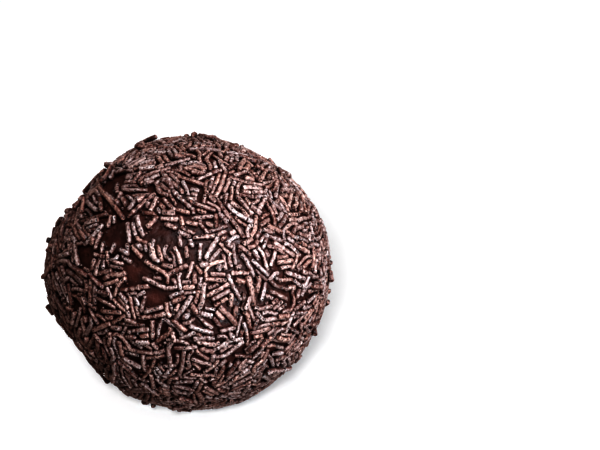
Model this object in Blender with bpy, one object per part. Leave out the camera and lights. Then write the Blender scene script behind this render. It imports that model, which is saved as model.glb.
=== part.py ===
"""Rum ball: a hand-rolled ball of dark chocolate dough, rolled in chocolate sprinkles.

Units are metres and +Z is up. The origin is the middle of the flat spot that the ball rests on. The ball's
best side faces -Y and upwards by FACE_TILT. Places on that side are given on the face plane, a flat plane
across the ball's middle that is square to this direction: x to the right, y up, from the middle outwards.
"""

import math

import bmesh
import bpy
import numpy as np
from mathutils import Matrix, Vector

MM = 0.001

# Dough: a ball that has settled a little under its own weight
DOUGH_RADIUS = 29.3 * MM
DOUGH_HALF_HEIGHT = 27.2 * MM
FLAT_RADIUS = 10.5 * MM
DOUGH_CUTS = 5  # cuts along each edge of the 20-sided shape that it starts from
DOUGH_TURN = math.radians(7.0)

# The best side's direction, from the ball's middle
FACE_TILT = math.radians(33.0)
FACE_RIGHT = Vector((1.0, 0.0, 0.0))
FACE_UP = Vector((0.0, math.sin(FACE_TILT), math.cos(FACE_TILT)))
FACE_OUT = Vector((0.0, -math.cos(FACE_TILT), math.sin(FACE_TILT)))
FACE_ROUNDS = 4  # steps that bring a place on the face plane to the dough under it

# Dents and swellings left by rolling it by hand: azimuth and elevation in degrees, height in mm, spread in
# degrees
LUMPS = (
    (156.0, 32.0, -2.9, 14.0),
    (202.0, -30.0, -2.6, 12.5),
    (304.0, -52.0, 0.9, 15.0),
    (11.0, 17.0, 0.6, 12.0),
    (75.0, 12.0, -1.3, 20.0),
    (110.0, -20.0, 0.8, 18.0),
    (40.0, -25.0, -0.8, 16.0),
)

# Sprinkles
SPRINKLE_WIDTH = 1.15 * MM
WIDTH_SPREAD = 0.14
SPRINKLE_SIDES = 6
SPREAD_COUNT = 288
LONGEST = 7.2 * MM
SHORTEST = 4.4 * MM
LENGTH_FALL = 0.45
LIFT = 0.16  # height of a sprinkle's axis over the dough, as a share of its width
LEAST_BENT_LENGTH = 6.0 * MM
MOST_BEND = 0.09  # sideways bow, as a share of the length
LEAST_PLACED_BOW = 0.5 * MM  # a shorter sprinkle that bows more than this is bent too
CANDIDATES = 48
SAMPLES = np.linspace(-0.5, 0.5, 5)  # places along a sprinkle where its room is measured
FLOOR_GAP = 0.25 * MM
SEED = 20

# Spots of the best side where the dough shows: x, y and radius on the face plane, in mm
BARE_SPOTS = (
    (-14.6, 18.2, 2.6),
    (-11.4, 11.6, 2.4),
    (-14.1, 7.2, 2.8),
    (-4.6, 8.1, 2.6),
    (-20.4, 3.8, 2.2),
    (-9.6, 1.0, 3.0),
    (-6.0, -4.2, 2.2),
)

# Long sprinkles round those spots: both ends on the face plane and the sideways bow, in mm
PLACED_SPRINKLES = (
    (-17.6, 19.2, -12.2, 10.4, 0.3),
    (-11.8, 11.0, -6.0, 15.8, 0.0),
    (-2.6, 16.5, 1.0, 12.7, 0.2),
    (-4.5, 14.8, -2.1, 12.2, 0.2),
    (-11.8, 10.0, -11.4, 5.7, -0.1),
    (-11.0, 5.5, -8.9, 2.9, 0.1),
    (-9.8, 11.4, -8.5, 7.1, 0.2),
    (-8.0, 8.9, -5.6, 11.2, 0.1),
    (-5.1, 10.7, -1.5, 10.4, 0.0),
    (-4.4, 9.6, -1.9, 8.5, -0.1),
    (-6.4, 6.6, -5.3, 2.0, 1.3),
    (-7.4, 5.9, -6.2, 2.0, -0.1),
    (-1.4, 7.2, -1.2, 4.8, 0.0),
    (-11.7, 12.6, -9.6, 15.1, 0.1),
    (-20.1, 14.6, -17.9, 12.7, 0.1),
    (-21.4, 10.3, -15.7, 12.0, 0.2),
    (-20.6, 5.6, -16.7, 9.9, 0.2),
    (-15.9, 9.1, -15.0, 11.6, 0.1),
    (-17.1, 3.9, -16.7, 6.3, 0.0),
    (-15.3, 3.9, -14.3, 6.0, 0.1),
    (-13.0, 3.6, -11.1, 2.0, 0.2),
    (-16.8, -1.3, -12.2, -0.1, -0.3),
    (-8.9, -1.1, -1.8, -3.0, 0.7),
    (-13.5, -3.4, -7.6, -2.8, 0.1),
    (-9.1, 18.8, -2.9, 20.9, -0.3),
    (-12.8, 16.8, -7.6, 16.5, 0.2),
    (-1.6, 19.3, 3.8, 17.4, 0.2),
    (6.9, 22.3, 8.3, 20.0, 0.1),
    (8.3, 20.0, 5.9, 14.7, -0.2),
    (6.5, 14.1, 11.6, 6.4, 0.2),
)


def unit(azimuth, elevation):
    """The direction at this azimuth, from +X towards +Y, and elevation, both in degrees."""
    a = math.radians(azimuth)
    e = math.radians(elevation)
    return np.array((math.cos(a) * math.cos(e), math.sin(a) * math.cos(e), math.sin(e)))


def dough_radius(directions):
    """The dough's radius in each direction, as an array. Directions are rows of unit vectors."""
    x, y, z = directions.T
    radius = 1 / np.sqrt((x * x + y * y) / DOUGH_RADIUS**2 + z * z / DOUGH_HALF_HEIGHT**2)
    for azimuth, elevation, height, spread in LUMPS:
        angle = np.degrees(np.arccos(np.clip(directions @ unit(azimuth, elevation), -1, 1)))
        radius = radius + height * MM * np.exp(-0.5 * (angle / spread) ** 2)
    return radius


def middle_height():
    """How high the ball's middle is when the flat spot has FLAT_RADIUS."""
    return DOUGH_HALF_HEIGHT * math.sqrt(1 - (FLAT_RADIUS / DOUGH_RADIUS) ** 2)


def on_dough(directions):
    """The points of the dough's surface in these directions."""
    points = directions * dough_radius(directions)[:, None]
    return points + np.array((0.0, 0.0, middle_height()))


def normalised(vectors):
    """The vectors scaled to length 1."""
    return vectors / np.linalg.norm(vectors, axis=-1, keepdims=True)


def on_face(x, y):
    """The direction from the ball's middle to the dough under the point x, y of the face plane, in mm."""
    reach = DOUGH_RADIUS
    for _ in range(FACE_ROUNDS):
        depth = math.sqrt(reach**2 - (x * MM) ** 2 - (y * MM) ** 2)
        direction = np.array((FACE_RIGHT * x * MM + FACE_UP * y * MM + FACE_OUT * depth) / reach)
        reach = float(dough_radius(direction[None])[0])
    return direction


def bare_spots():
    """The bare spots as (direction, cosine of the angle that the spot spans)."""
    return [(on_face(x, y), math.cos(r * MM / DOUGH_RADIUS)) for x, y, r in BARE_SPOTS]


def placed_sprinkles():
    """The sprinkles placed by hand, as (start, end, bow, width): two points on the dough and two lengths."""
    for x0, y0, x1, y1, bow in PLACED_SPRINKLES:
        start, end = on_dough(np.array((on_face(x0, y0), on_face(x1, y1))))
        yield start, end, bow * MM, SPRINKLE_WIDTH


def spread_sprinkles(taken):
    """Sprinkles spread evenly over the rest of the ball, the longest first. Each takes the roomiest of a few
    random places, away from the bare spots, the flat spot and the points already taken.
    """
    draw = np.random.RandomState(SEED)
    spots = bare_spots()
    for index in range(SPREAD_COUNT):
        share = (index / SPREAD_COUNT) ** LENGTH_FALL
        length = LONGEST + (SHORTEST - LONGEST) * share
        width = SPRINKLE_WIDTH * (1 + WIDTH_SPREAD * draw.uniform(-1, 1))
        bow = MOST_BEND * length * draw.uniform(-1, 1)
        middles = normalised(draw.normal(size=(CANDIDATES, 3)))
        headings = normalised(np.cross(middles, draw.normal(size=(CANDIDATES, 3))))
        steps = SAMPLES[:, None, None] * headings * (length / DOUGH_RADIUS)
        directions = normalised(middles + steps)
        points = on_dough(directions.reshape(-1, 3)).reshape(len(SAMPLES), CANDIDATES, 3)
        room = np.linalg.norm(points[:, :, None] - taken, axis=-1).min(axis=(0, 2))
        room[points[:, :, 2].min(axis=0) < width * (LIFT + 0.5) + FLOOR_GAP] = -1
        for direction, cosine in spots:
            room[(directions @ direction).max(axis=0) > cosine] = -1
        best = int(np.argmax(room))
        taken = np.concatenate((taken, points[:, best]))
        yield points[0, best], points[-1, best], bow, width


def sprinkle(start, end, bow, width):
    """A sprinkle as a six-sided rod from start to end, half sunk in the dough. A long one has a middle ring,
    which follows the ball's curve and bows to one side.
    """
    start, end = Vector(start), Vector(end)
    along = (end - start).normalized()
    middle = (start + end) / 2
    out = (middle - Vector((0.0, 0.0, middle_height()))).normalized()
    side = along.cross(out).normalized()
    out = side.cross(along)
    length = (end - start).length
    mesh = bmesh.new()
    bmesh.ops.create_cone(
        mesh,
        cap_ends=True,
        segments=SPRINKLE_SIDES,
        radius1=width / 2,
        radius2=width / 2,
        depth=length,
    )
    if length > LEAST_BENT_LENGTH or abs(bow) > LEAST_PLACED_BOW:
        everything = mesh.verts[:] + mesh.edges[:] + mesh.faces[:]
        cut = bmesh.ops.bisect_plane(mesh, geom=everything, plane_no=(0.0, 0.0, 1.0))
        ring = [item for item in cut["geom_cut"] if isinstance(item, bmesh.types.BMVert)]
        rise = length**2 / (8 * DOUGH_RADIUS)
        bmesh.ops.translate(mesh, verts=ring, vec=(rise, bow, 0.0))
    place = Matrix((out, side, along)).transposed().to_4x4()
    place.translation = middle + out * LIFT * width
    bmesh.ops.transform(mesh, verts=mesh.verts, matrix=place)
    return mesh


def dough():
    """The dough without its sprinkles, cut flat where the ball rests."""
    mesh = bmesh.new()
    turn = Matrix.Rotation(DOUGH_TURN, 4, Vector((1.0, 2.0, 3.0)))
    bmesh.ops.create_icosphere(mesh, subdivisions=1, radius=1.0, matrix=turn)
    bmesh.ops.subdivide_edges(mesh, edges=mesh.edges, cuts=DOUGH_CUTS, use_grid_fill=True)
    directions = normalised(np.array([vert.co for vert in mesh.verts]))
    for vert, point in zip(mesh.verts, on_dough(directions)):
        vert.co = point
    everything = mesh.verts[:] + mesh.edges[:] + mesh.faces[:]
    cut = bmesh.ops.bisect_plane(
        mesh, geom=everything, plane_no=(0.0, 0.0, 1.0), clear_inner=True
    )
    rim = [item for item in cut["geom_cut"] if isinstance(item, bmesh.types.BMEdge)]
    bmesh.ops.contextual_create(mesh, geom=rim)
    bmesh.ops.recalc_face_normals(mesh, faces=mesh.faces)
    return mesh


def new_object(name, mesh, collection):
    """An object named name that holds the bmesh."""
    data = bpy.data.meshes.new(name)
    mesh.to_mesh(data)
    mesh.free()
    item = bpy.data.objects.new(name, data)
    collection.objects.link(item)
    return item


def chocolate():
    """Dark chocolate with a dull shine."""
    material = bpy.data.materials.new("dark_chocolate")
    material.use_nodes = True
    shader = material.node_tree.nodes["Principled BSDF"]
    shader.inputs["Base Color"].default_value = (0.07, 0.032, 0.024, 1.0)
    shader.inputs["Roughness"].default_value = 0.45
    shader.inputs["Metallic"].default_value = 0.0
    return material


def clear_scene():
    """Removes the objects that the scene starts with."""
    for item in list(bpy.data.objects):
        bpy.data.objects.remove(item)


def fuse(body, collection):
    """Joins every object of the collection to the body, and removes them."""
    union = body.modifiers.new("fuse", "BOOLEAN")
    union.operation = "UNION"
    union.operand_type = "COLLECTION"
    union.collection = collection
    union.solver = "EXACT"
    graph = bpy.context.evaluated_depsgraph_get()
    joined = bpy.data.meshes.new_from_object(body.evaluated_get(graph))
    body.modifiers.clear()
    body.data = joined
    for item in list(collection.objects):
        bpy.data.objects.remove(item)
    bpy.data.collections.remove(collection)


def main():
    """Builds the ball: the dough, and the sprinkles fused to it."""
    clear_scene()
    scene = bpy.context.scene.collection
    ball = new_object("rum_ball", dough(), scene)
    loose = bpy.data.collections.new("sprinkles")
    scene.children.link(loose)
    placed = list(placed_sprinkles())
    taken = np.array([point for start, end, _, _ in placed for point in (start, (start + end) / 2, end)])
    for index, row in enumerate([*placed, *spread_sprinkles(taken)]):
        new_object(f"sprinkle_{index}", sprinkle(*row), loose)
    fuse(ball, loose)
    ball.data.materials.clear()
    ball.data.materials.append(chocolate())
    ball.data.shade_smooth()
    ball.data.set_sharp_from_angle(angle=math.radians(40.0))


main()
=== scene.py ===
"""The looks of the rum ball: dark chocolate dough in a dense coat of chocolate sprinkles.

Units are metres and +Z is up. The origin is the middle of the flat spot that the ball rests on. The large
sprinkles lie where the solid has them, by the same rule. Loose ones are then settled round and over them.
"""

import logging
import math
from collections.abc import Iterator
from dataclasses import dataclass, fields
from enum import Enum

import bmesh
import bpy
import numpy as np
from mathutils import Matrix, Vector, noise


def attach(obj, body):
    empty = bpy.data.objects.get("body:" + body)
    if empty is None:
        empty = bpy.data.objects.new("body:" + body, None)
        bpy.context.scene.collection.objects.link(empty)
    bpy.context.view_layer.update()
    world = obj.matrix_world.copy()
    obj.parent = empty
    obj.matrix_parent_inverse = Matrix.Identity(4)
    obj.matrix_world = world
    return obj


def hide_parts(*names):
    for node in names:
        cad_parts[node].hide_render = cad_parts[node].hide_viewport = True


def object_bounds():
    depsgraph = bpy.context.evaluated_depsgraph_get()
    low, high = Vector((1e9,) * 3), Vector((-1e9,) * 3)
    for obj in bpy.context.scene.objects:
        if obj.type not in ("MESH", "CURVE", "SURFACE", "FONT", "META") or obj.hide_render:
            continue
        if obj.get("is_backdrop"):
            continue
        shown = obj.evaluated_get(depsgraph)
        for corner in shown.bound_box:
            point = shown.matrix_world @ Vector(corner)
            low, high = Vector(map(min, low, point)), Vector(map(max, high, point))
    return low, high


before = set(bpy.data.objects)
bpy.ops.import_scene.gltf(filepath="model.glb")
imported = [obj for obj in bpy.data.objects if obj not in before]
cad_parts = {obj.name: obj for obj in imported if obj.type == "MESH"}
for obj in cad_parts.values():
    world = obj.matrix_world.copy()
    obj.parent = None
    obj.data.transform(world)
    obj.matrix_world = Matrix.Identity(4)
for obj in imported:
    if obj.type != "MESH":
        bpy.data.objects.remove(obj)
CAD_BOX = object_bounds()

MM = 0.001
NODE = "rum_ball"
BODY = "root"

PHOTO_WIDTH_PX = 600
PHOTO_HEIGHT_PX = 450
BALL_X_PX = 186.0
BALL_Y_PX = 269.0
PX = 0.21 * MM  # what one pixel of the photo spans at the ball

MID_TONE = 0.5
TINY = 1e-9  # added to lengths before something is divided by them

Colour = tuple[float, float, float]
Faces = list[tuple[int, ...]]  # each as the indices of its corners
Laid = tuple[float, float, float, float, float]  # x and y of a sprinkle's start and end, and its bow, in mm
Row = tuple[np.ndarray, np.ndarray, float, float]  # a sprinkle's start, end, width and bow
Spots = list[tuple[np.ndarray, float]]  # bare spots, as directions and radii

log = logging.getLogger("rum_ball")


def dot(a: np.ndarray, b: np.ndarray) -> np.ndarray:
    """The dot products of matching rows."""
    return (a * b).sum(axis=-1)


def lengths(vectors: np.ndarray) -> np.ndarray:
    """The lengths of the rows."""
    return np.sqrt(dot(vectors, vectors))


def levelled(vectors: np.ndarray, out: np.ndarray) -> np.ndarray:
    """The vectors without what they have along the unit vectors out."""
    return vectors - out * dot(vectors, out)[:, None]


def gaps_from(point: np.ndarray, starts: np.ndarray, ends: np.ndarray) -> np.ndarray:
    """The ways from a point to the nearest points of some axes.

    Args:
        point: The point.
        starts: The axes' starts.
        ends: Their ends.

    Returns:
        A vector for each axis.
    """
    run = ends - starts
    share = np.clip(dot(point - starts, run) / dot(run, run), 0, 1)
    return starts + run * share[:, None] - point


def normalised(vectors: np.ndarray) -> np.ndarray:
    """The vectors scaled to length 1."""
    return vectors / np.linalg.norm(vectors, axis=-1, keepdims=True)


def unit(azimuth: float, elevation: float) -> np.ndarray:
    """The direction at an azimuth and an elevation.

    Args:
        azimuth: The angle from +X towards +Y, in degrees.
        elevation: The angle above the horizon, in degrees.

    Returns:
        A vector of length 1.
    """
    a, e = math.radians(azimuth), math.radians(elevation)
    return np.array((math.cos(a) * math.cos(e), math.sin(a) * math.cos(e), math.sin(e)))


def dress(item: bpy.types.Object, material: bpy.types.Material) -> bpy.types.Object:
    """Args:
        item: The finished piece.
        material: Its only material.

    Returns:
        The same piece.
    """
    item.data.materials.append(material)
    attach(item, BODY)
    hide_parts(NODE)
    log.info("%s: %d faces", item.name, len(item.data.polygons))
    return item


def new_object(name: str, data: bpy.types.Mesh) -> bpy.types.Object:
    """Adds an object to the scene.

    Args:
        name: Its name.
        data: Its mesh.

    Returns:
        The object.
    """
    item = bpy.data.objects.new(name, data)
    bpy.context.scene.collection.objects.link(item)
    return item


# ---------------------------------------------------------------- shader tools


def set_inputs(node: bpy.types.Node, values: dict[str, float]) -> None:
    """Sets inputs of a node to constants.

    Args:
        node: The node.
        values: The constants, by the name of the input.
    """
    for name, value in values.items():
        node.inputs[name].default_value = value


@dataclass(frozen=True)
class Ramp:
    """A colour ramp: places from 0 to 1 and the linear colour at each."""

    stops: tuple[tuple[float, Colour], ...]

    def add(self, tree: bpy.types.NodeTree, value: bpy.types.NodeSocket) -> bpy.types.NodeSocket:
        """Adds the ramp to a node tree.

        Args:
            tree: The material's node tree.
            value: The socket that drives the ramp.

        Returns:
            The ramp's colour socket.
        """
        node = tree.nodes.new("ShaderNodeValToRGB")
        elements = node.color_ramp.elements
        while len(elements) < len(self.stops):
            elements.new(0.5)
        for element, (place, colour) in zip(elements, self.stops):
            element.position = place
            element.color = (*colour, 1.0)
        tree.links.new(value, node.inputs["Fac"])
        return node.outputs["Color"]


@dataclass(frozen=True)
class ChocolateGrain:
    """The fine texture that every chocolate surface here shares, as a shader node group."""

    name: str = "chocolate_grain"
    detail: float = 2.0
    cloud: tuple[float, float] = (0.3, 0.7)  # the noise at which grain and mottle are 0 and 1
    pit: tuple[float, float] = (0.17, 0.33)  # how far from its middle a pit begins to rise and ends
    grain_share: float = 0.3  # of the height that grain and mottle make
    pit_share: float = 0.45  # of the whole height

    def group(self) -> bpy.types.NodeTree:
        """Builds the group, or gives the one built before.

        Returns:
            A group that takes the scales of the grain, the mottle and the pits, and puts out four values
            from 0 to 1: Grain, fine and sharp; Mottle, broad and soft; Pits, 0 in a pit; and Height, for a
            bump.
        """
        if self.name in bpy.data.node_groups:
            return bpy.data.node_groups[self.name]
        group = bpy.data.node_groups.new(self.name, "ShaderNodeTree")
        face = group.interface
        face.new_socket("Place", in_out="INPUT", socket_type="NodeSocketVector")
        for label in ("Grain Scale", "Mottle Scale", "Pit Scale"):
            face.new_socket(label, in_out="INPUT", socket_type="NodeSocketFloat")
        for label in ("Grain", "Mottle", "Pits", "Height"):
            face.new_socket(label, in_out="OUTPUT", socket_type="NodeSocketFloat")
        nodes, links = group.nodes, group.links
        source = nodes.new("NodeGroupInput")
        result = nodes.new("NodeGroupOutput")
        values = {}
        for label, kind, output, detail, (low, high) in (
            ("Grain", "ShaderNodeTexNoise", "Fac", self.detail, self.cloud),
            ("Mottle", "ShaderNodeTexNoise", "Fac", self.detail, self.cloud),
            ("Pits", "ShaderNodeTexVoronoi", "Distance", 0.0, self.pit),
        ):
            texture = nodes.new(kind)
            set_inputs(texture, {"Detail": detail})
            links.new(source.outputs["Place"], texture.inputs["Vector"])
            links.new(source.outputs[f"{label.removesuffix('s')} Scale"], texture.inputs["Scale"])
            spread = nodes.new("ShaderNodeMapRange")
            set_inputs(spread, {"From Min": low, "From Max": high})
            links.new(texture.outputs[output], spread.inputs["Value"])
            links.new(spread.outputs["Result"], result.inputs[label])
            values[label] = spread.outputs["Result"]
        height = values["Mottle"]
        for label, share in (("Grain", self.grain_share), ("Pits", self.pit_share)):
            mix = nodes.new("ShaderNodeMix")
            set_inputs(mix, {"Factor": share})
            links.new(height, mix.inputs["A"])
            links.new(values[label], mix.inputs["B"])
            height = mix.outputs["Result"]
        links.new(height, result.inputs["Height"])
        return group


@dataclass(frozen=True)
class ChocolateFinish:
    """A chocolate surface: its colours by tone, its grain and its shine."""

    name: str
    ramp: Ramp
    pit: Colour
    grain_scale: float
    mottle_scale: float
    pit_scale: float
    mottle_share: float
    bump: float
    roughness: tuple[float, float]
    ior: float
    specular: float
    coat: float = 0.0
    coat_roughness: float = 0.2
    tip: Colour | None = None
    warm: Colour | None = None  # what the colour of the warmest sprinkles is multiplied by

    def material(self) -> bpy.types.Material:
        """Builds the material, or gives the one built before.

        Returns:
            A material whose tone comes from the mesh's tone attribute, varied by the mottle.
        """
        if self.name in bpy.data.materials:
            return bpy.data.materials[self.name]
        material = bpy.data.materials.new(self.name)
        material.use_nodes = True
        tree = material.node_tree
        nodes, links = tree.nodes, tree.links
        shader = nodes["Principled BSDF"]
        place = nodes.new("ShaderNodeTexCoord")
        grain = nodes.new("ShaderNodeGroup")
        grain.node_tree = ChocolateGrain().group()
        scales = {"Grain Scale": self.grain_scale, "Mottle Scale": self.mottle_scale}
        set_inputs(grain, {**scales, "Pit Scale": self.pit_scale})
        links.new(place.outputs["Object"], grain.inputs["Place"])
        mixed = nodes.new("ShaderNodeMix")
        set_inputs(mixed, {"Factor": self.mottle_share})
        links.new(self.attribute(tree, "tone"), mixed.inputs["A"])
        links.new(grain.outputs["Mottle"], mixed.inputs["B"])
        colour = self.ramp.add(tree, mixed.outputs["Result"])
        if self.tip:
            colour = self.blend(tree, self.attribute(tree, "tip"), colour, self.tip)
        if self.warm:
            colour = self.blend(tree, self.attribute(tree, "warmth"), colour, self.warm, "MULTIPLY")
        # The pits take the pit colour. On the sprinkles it is near black, painted shade in the bump's
        # hollows.
        pits = nodes.new("ShaderNodeMath")
        pits.operation = "SUBTRACT"
        pits.inputs[0].default_value = 1.0
        links.new(grain.outputs["Pits"], pits.inputs[1])
        colour = self.blend(tree, pits.outputs["Value"], colour, self.pit)
        links.new(colour, shader.inputs["Base Color"])
        gloss = nodes.new("ShaderNodeMapRange")
        set_inputs(gloss, dict(zip(("To Min", "To Max"), self.roughness)))
        links.new(grain.outputs["Grain"], gloss.inputs["Value"])
        links.new(gloss.outputs["Result"], shader.inputs["Roughness"])
        bump = nodes.new("ShaderNodeBump")
        set_inputs(bump, {"Distance": self.bump})
        links.new(grain.outputs["Height"], bump.inputs["Height"])
        links.new(bump.outputs["Normal"], shader.inputs["Normal"])
        set_inputs(shader, {"IOR": self.ior, "Specular IOR Level": self.specular})
        set_inputs(shader, {"Coat Weight": self.coat, "Coat Roughness": self.coat_roughness})
        return material

    def attribute(self, tree: bpy.types.NodeTree, name: str) -> bpy.types.NodeSocket:
        """Adds a node that reads an attribute of the mesh.

        Args:
            tree: The material's node tree.
            name: The attribute's name.

        Returns:
            The socket with its value.
        """
        node = tree.nodes.new("ShaderNodeAttribute")
        node.attribute_name = name
        return node.outputs["Fac"]

    def blend(
        self,
        tree: bpy.types.NodeTree,
        share: bpy.types.NodeSocket,
        colour: bpy.types.NodeSocket,
        other: Colour,
        mode: str = "MIX",
    ) -> bpy.types.NodeSocket:
        """Blends another colour in.

        Args:
            tree: The material's node tree.
            share: The socket that gives the other colour's share.
            colour: The colour where the share is 0.
            other: The colour where it is 1.
            mode: The blend mode.

        Returns:
            The blended colour.
        """
        mix = tree.nodes.new("ShaderNodeMix")
        mix.data_type = "RGBA"
        mix.blend_type = mode
        mix.inputs["B"].default_value = (*other, 1.0)
        tree.links.new(share, mix.inputs["Factor"])
        tree.links.new(colour, mix.inputs["A"])
        return mix.outputs["Result"]


SPRINKLE_FINISH = ChocolateFinish(
    name="sprinkle_chocolate",
    # The upper stops are pale: painted highlight on the sprinkles' lit tops. The lowest is painted shade on
    # their flanks.
    ramp=Ramp(
        (
            (0.0, (0.007, 0.0013, 0.0006)),
            (0.5, (0.053, 0.0160, 0.0105)),
            (0.78, (0.176, 0.1310, 0.1225)),
            (1.0, (0.272, 0.2440, 0.2370)),
        )
    ),
    # Near black: painted shade in the pits, the hollows that the bump makes.
    pit=(0.0065, 0.0016, 0.0009),
    grain_scale=3000.0,
    mottle_scale=1800.0,
    pit_scale=1500.0,
    mottle_share=0.3,
    bump=0.38 * MM,
    roughness=(0.4, 0.6),
    ior=1.55,
    specular=0.38,
    tip=(0.13, 0.075, 0.062),
    warm=(1.0, 0.79, 0.69),
)

DOUGH_FINISH = ChocolateFinish(
    name="dough_chocolate",
    ramp=Ramp(
        (
            (0.0, (0.016, 0.0050, 0.0036)),
            (0.5, (0.032, 0.0100, 0.0072)),
            (1.0, (0.054, 0.0180, 0.0130)),
        )
    ),
    pit=(0.030, 0.010, 0.007),
    grain_scale=3000.0,
    mottle_scale=350.0,
    pit_scale=500.0,
    mottle_share=0.8,
    bump=0.35 * MM,
    roughness=(0.4, 0.6),
    ior=1.45,
    specular=0.2,
    coat=0.04,
)


# ------------------------------------------------------------------------ dough


@dataclass(frozen=True)
class Lump:
    """A dent or swelling left by rolling the ball by hand: its place and spread in degrees."""

    azimuth: float
    elevation: float
    height: float
    spread: float

    def add(self, directions: np.ndarray) -> np.ndarray:
        """How much it adds to the radius in each direction."""
        cosine = np.clip(dot(directions, unit(self.azimuth, self.elevation)), -1, 1)
        return self.height * np.exp(-0.5 * (np.degrees(np.arccos(cosine)) / self.spread) ** 2)


@dataclass(frozen=True)
class Dough:
    """The ball of dough under the coat, which has settled a little under its own weight."""

    radius: float = 29.3 * MM
    half_height: float = 27.2 * MM
    flat_radius: float = 10.5 * MM
    lumps: tuple[Lump, ...] = (
        Lump(156.0, 32.0, -2.9 * MM, 14.0),
        Lump(202.0, -30.0, -2.6 * MM, 12.5),
        Lump(304.0, -52.0, 0.9 * MM, 15.0),
        Lump(11.0, 17.0, 0.6 * MM, 12.0),
        Lump(75.0, 12.0, -1.3 * MM, 20.0),
        Lump(110.0, -20.0, 0.8 * MM, 18.0),
        Lump(40.0, -25.0, -0.8 * MM, 16.0),
    )
    subdivisions: int = 7
    base_gap: float = 0.8 * MM  # room under the dough for the sprinkles that it rests on
    sunk: float = 0.22 * MM  # how far the visible dough lies under the line that sprinkles are laid on
    relief: float = 0.2 * MM
    relief_size: float = 1.6 * MM
    relief_fall: float = 0.6  # how fast the finer bumps get lower
    relief_step: float = 2.1  # how much finer each layer of bumps is
    relief_layers: int = 3
    relief_level: float = 0.3  # the height that the bumps are counted from

    @property
    def middle(self) -> np.ndarray:
        """The ball's middle."""
        height = self.half_height * math.sqrt(1 - (self.flat_radius / self.radius) ** 2)
        return np.array((0.0, 0.0, height))

    def reach(self, directions: np.ndarray) -> np.ndarray:
        """The dough's radius in some directions.

        Args:
            directions: Rows of unit vectors.

        Returns:
            The radius in each direction.
        """
        x, y, z = directions.T
        radius = 1 / np.sqrt((x * x + y * y) / self.radius**2 + z * z / self.half_height**2)
        for lump in self.lumps:
            radius = radius + lump.add(directions)
        return radius

    def surface(self, directions: np.ndarray) -> np.ndarray:
        """The points of the surface in these directions."""
        return self.middle + directions * self.reach(directions)[:, None]

    def heights(self, points: np.ndarray) -> tuple[np.ndarray, np.ndarray]:
        """How far points are outside the dough, and which way leads out there.

        Args:
            points: Rows of points near the surface.

        Returns:
            The heights, and the unit vectors that point out of the dough.
        """
        offsets = points - self.middle
        far = lengths(offsets)
        out = offsets / far[:, None]
        height = far - self.reach(out)
        below = self.base_gap - points[:, 2]
        under = below > height
        out[under] = (0.0, 0.0, -1.0)
        return np.where(under, below, height), out

    def build(self) -> bpy.types.Object:
        """Builds the dough's piece, with the fine relief that shows between sprinkles.

        Returns:
            The dressed piece.
        """
        mesh = bmesh.new()
        bmesh.ops.create_icosphere(mesh, subdivisions=self.subdivisions, radius=1.0)
        directions = normalised(np.array([vert.co for vert in mesh.verts]))
        for vert, point, out in zip(mesh.verts, self.surface(directions), directions):
            place = Vector(point) / self.relief_size
            bumps = noise.fractal(place, self.relief_fall, self.relief_step, self.relief_layers)
            bumps -= self.relief_level
            vert.co = Vector(point) + Vector(out) * (bumps * self.relief - self.sunk)
            vert.co.z = max(vert.co.z, self.base_gap + bumps * self.relief)
        data = bpy.data.meshes.new("dough")
        mesh.to_mesh(data)
        mesh.free()
        data.shade_smooth()
        tone = data.attributes.new("tone", "FLOAT", "POINT")
        tone.data.foreach_set("value", np.full(len(data.vertices), MID_TONE))
        return dress(new_object("dough", data), DOUGH_FINISH.material())


@dataclass(frozen=True)
class FacePlane:
    """The flat plane across the ball's middle that is square to the camera: x to the right and y up."""

    tilt: float = math.radians(33.0)  # of the camera's line of sight, below the horizon
    rounds: int = 4  # in which a place's depth is worked out

    @property
    def right(self) -> Vector:
        """The camera's right."""
        return Vector((1.0, 0.0, 0.0))

    @property
    def up(self) -> Vector:
        """The camera's up."""
        return Vector((0.0, math.sin(self.tilt), math.cos(self.tilt)))

    @property
    def out(self) -> Vector:
        """The way from the ball towards the camera."""
        return Vector((0.0, -math.cos(self.tilt), math.sin(self.tilt)))

    def direction(self, dough: Dough, x: float, y: float) -> np.ndarray:
        """The direction from the ball's middle to the dough under a place on the plane.

        Args:
            dough: The ball of dough.
            x: The place's distance to the right, in mm.
            y: Its distance upwards, in mm.

        Returns:
            A vector of length 1, or very near it.
        """
        reach = dough.radius
        for _ in range(self.rounds):
            depth = math.sqrt(reach**2 - (x * MM) ** 2 - (y * MM) ** 2)
            direction = np.array((self.right * x * MM + self.up * y * MM + self.out * depth) / reach)
            reach = float(dough.reach(direction[None])[0])
        return direction


# -------------------------------------------------------------------- sprinkles


MEAN_ARCH = 2 / 3  # the mean height of a parabola over a chord, as a share of its top
STUB_TO = 2.2  # most length of a stub, in widths


class Kind(Enum):
    """The kinds of sprinkle, each of which is one piece."""

    STRAIGHT = "straight_sprinkles"
    RIDGED = "ridged_sprinkles"
    BENT = "bent_sprinkles"
    STUB = "stub_sprinkles"


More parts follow.
